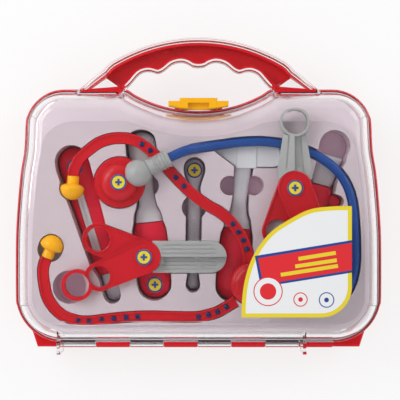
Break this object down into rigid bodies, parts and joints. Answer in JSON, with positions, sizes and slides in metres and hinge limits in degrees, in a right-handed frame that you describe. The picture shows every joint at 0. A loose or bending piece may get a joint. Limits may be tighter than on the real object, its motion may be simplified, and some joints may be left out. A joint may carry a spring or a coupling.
{
  "type": "toy doctor case",
  "caption": "Toy doctor case: red base with a handle, clear hinged lid, latch and formed tray holding a toy stethoscope, scissors, forceps, hammer, syringe and other instruments.",
  "frame": {"origin": "middle of the bounding box's bottom face; the case lies on its back", "axes": "+X across the case to the right, +Y from the hinge to the handle, +Z from the back to the lid's front"},
  "size_m": [0.2618, 0.2214, 0.0806],
  "materials": {
    "case_red": "glossy moulded red",
    "clear_plastic": "clear, polished",
    "tray_plastic": "thin vacuum-formed sheet, glossy pale lilac grey",
    "latch_yellow": "satin yellow",
    "toy_red": "glossy moulded red",
    "toy_grey": "satin grey",
    "hose_blue": "soft blue hose",
    "stud_blue": "dark blue",
    "tip_yellow": "glossy yellow",
    "steel": "plain pins",
    "print_white": "printed label",
    "print_yellow": "printed sticker"
  },
  "bodies": {
    "case": {"base_shell": "case_red", "hinge_pin": "steel", "latch_pin": "steel", "tray": "tray_plastic", "thermometer_body": "toy_red", "thermometer_tip": "toy_grey", "thermometer_scale": "toy_grey", "thermometer_sticker": "print_yellow", "otoscope_handle": "toy_red", "otoscope_head": "toy_grey", "otoscope_sticker": "print_yellow", "ear_probe": "toy_grey", "probe_sticker": "print_yellow", "hammer_handle": "toy_red", "hammer_head": "toy_grey", "syringe_barrel": "toy_red", "syringe_nozzle": "toy_grey", "headset_upper_arm": "toy_red", "headset_lower_arm": "toy_red", "headset_junction": "toy_red", "headset_stud_01": "stud_blue", "headset_stud_02": "stud_blue", "headset_stud_03": "stud_blue", "headset_stud_04": "stud_blue", "headset_stud_05": "stud_blue", "headset_stud_06": "stud_blue", "headset_stud_07": "stud_blue", "headset_stud_08": "stud_blue", "headset_stud_09": "stud_blue", "headset_stud_10": "stud_blue", "headset_stud_11": "stud_blue", "headset_stud_12": "stud_blue", "headset_stud_13": "stud_blue", "headset_stud_14": "stud_blue", "headset_stud_15": "stud_blue", "headset_stud_16": "stud_blue", "headset_stud_17": "stud_blue", "headset_stud_18": "stud_blue", "ear_tip_left": "tip_yellow", "ear_tip_lower": "tip_yellow", "chest_dish": "toy_red", "chest_neck": "toy_grey", "chest_sticker": "print_yellow", "stethoscope_hose": "hose_blue", "scissors_rear_handle": "toy_red", "scissors_rear_blade": "toy_grey", "scissors_rivet": "steel", "forceps_rear_handle": "toy_red", "forceps_rear_jaw": "toy_grey", "forceps_rivet": "steel"},
    "lid": {"lid_shell": "clear_plastic", "front_label": "print_white"},
    "latch": {"latch": "latch_yellow"},
    "scissors_front": {"scissors_front_handle": "toy_red", "scissors_front_blade": "toy_grey", "scissors_sticker": "print_yellow"},
    "forceps_front": {"forceps_front_handle": "toy_red", "forceps_front_jaw": "toy_grey", "forceps_sticker": "print_yellow"},
    "plunger": {"syringe_plunger": "toy_grey"}
  },
  "joints": [
    {"name": "lid_hinge", "type": "hinge", "parent": "case", "child": "lid", "pos_m": [0, -0.1074, 0.04415], "axis": [1, 0, 0], "range_deg": [0, 120]},
    {"name": "latch_hinge", "type": "hinge", "parent": "case", "child": "latch", "pos_m": [0, 0.06378, 0.0335], "axis": [-1, 0, 0], "range_deg": [0, 90]},
    {"name": "scissors_pivot", "type": "hinge", "parent": "case", "child": "scissors_front", "pos_m": [-0.0385, -0.0449, 0.0503], "axis": [0, 0, 1], "range_deg": [0, 30]},
    {"name": "forceps_pivot", "type": "hinge", "parent": "case", "child": "forceps_front", "pos_m": [0.0678, 0.0039, 0.0556], "axis": [0, 0, 1], "range_deg": [0, 25]},
    {"name": "plunger_slide", "type": "slide", "parent": "case", "child": "plunger", "axis": [0.274, 0.9617, 0], "range_m": [0, 0.006]}
  ]
}
